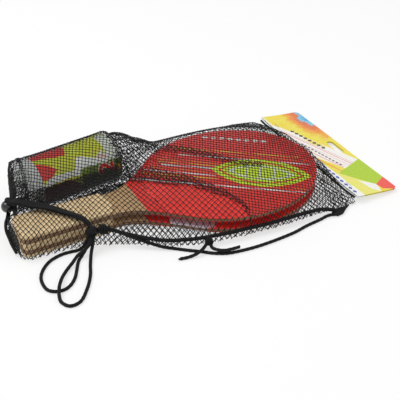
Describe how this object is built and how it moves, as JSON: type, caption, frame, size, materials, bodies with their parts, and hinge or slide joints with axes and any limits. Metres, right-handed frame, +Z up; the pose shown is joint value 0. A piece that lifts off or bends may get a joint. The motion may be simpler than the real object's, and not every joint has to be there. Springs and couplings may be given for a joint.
{
  "type": "beach bat set in a net bag",
  "caption": "Stacked beach bats with a tube of shuttles in a drawstring net bag under a folded header card.",
  "frame": {"origin": "middle of the box of the bag, its contents and its card, on the plane that the bag lies on", "axes": "+X along the bats from the mouth of the bag to the header card, +Y across the blades towards the tube, +Z up"},
  "size_m": [0.4624, 0.2728, 0.0693],
  "materials": {
    "net": "knitted polyester net",
    "binding": "folded polyester tape",
    "cord": "braided polyester cord",
    "bead": "glossy black",
    "card": "printed and glazed",
    "staple": "bright wire",
    "blade_core": "plywood under red lacquer",
    "grip_wood": "bare sanded wood",
    "tube_plastic": "clear plastic",
    "tube_base": "moulded",
    "tube_label": "printed and glossy",
    "lid_plastic": "pale clear plastic",
    "shuttle_nose": "foam",
    "shuttle_band": "moulded",
    "shuttle_skirt": "moulded nylon"
  },
  "bodies": {
    "bag": {"bag_net_bottom": "net", "bag_net_top": "net", "bag_net_grips": "net", "bag_net_mouth": "net", "bag_net_tube": "net", "bag_net_shoulder": "net", "bag_net_end": "net", "card_end_hem": "binding", "corner_tab": "binding", "side_seam": "binding", "mouth_hem_over": "cord", "mouth_hem_under": "cord", "bow_knot": "cord", "bow_wrap": "cord", "bow_loop_left": "cord", "bow_loop_right": "cord", "carry_cord": "cord", "seam_knot": "cord", "seam_tail_left": "cord", "seam_tail_right": "cord"},
    "card": {"header_card": "card", "staples": "staple", "net_end_flap": "net"},
    "bead": {"mouth_bead": "bead"},
    "upper_bat": {"upper_bat_core": "blade_core", "upper_bat_grip_top": "grip_wood", "upper_bat_grip_bottom": "grip_wood"},
    "lower_bat": {"lower_bat_core": "blade_core", "lower_bat_grip_top": "grip_wood", "lower_bat_grip_bottom": "grip_wood"},
    "tube": {"tube_wall": "tube_plastic", "tube_base": "tube_base", "tube_label": "tube_label"},
    "lid": {"tube_lid": "lid_plastic"},
    "front_shuttle": {"front_shuttle_nose": "shuttle_nose", "front_shuttle_band": "shuttle_band", "front_shuttle_skirt": "shuttle_skirt"},
    "rear_shuttle": {"rear_shuttle_nose": "shuttle_nose", "rear_shuttle_band": "shuttle_band", "rear_shuttle_skirt": "shuttle_skirt"}
  },
  "joints": [
    {"name": "card_hinge", "type": "hinge", "parent": "bag", "child": "card", "pos_m": [0.1685, -0.007, 0.0095], "axis": [0, -1, 0], "range_deg": [-2, 60]},
    {"name": "upper_bat_slide", "type": "slide", "parent": "bag", "child": "upper_bat", "axis": [1, 0, 0], "range_m": [-0.002, 0.003]},
    {"name": "lower_bat_slide", "type": "slide", "parent": "bag", "child": "lower_bat", "axis": [1, 0, 0], "range_m": [-0.002, 0.003]},
    {"name": "tube_roll", "type": "hinge", "parent": "bag", "child": "tube", "pos_m": [-0.1888, 0.056, 0.03285], "axis": [0.9877, 0.1564, 0], "continuous": true},
    {"name": "lid_pull", "type": "slide", "parent": "tube", "child": "lid", "axis": [-0.9877, -0.1564, 0], "range_m": [0, 0.005]},
    {"name": "front_shuttle_slide", "type": "slide", "parent": "tube", "child": "front_shuttle", "axis": [-0.9877, -0.1564, 0], "range_m": [0, 0.004]},
    {"name": "rear_shuttle_slide", "type": "slide", "parent": "front_shuttle", "child": "rear_shuttle", "axis": [-0.9877, -0.1564, 0], "range_m": [0, 0.002]},
    {"name": "bead_spin", "type": "hinge", "parent": "bag", "child": "bead", "pos_m": [-0.2182, 0.0311, 0.028], "axis": [0, 0, 1], "continuous": true}
  ]
}
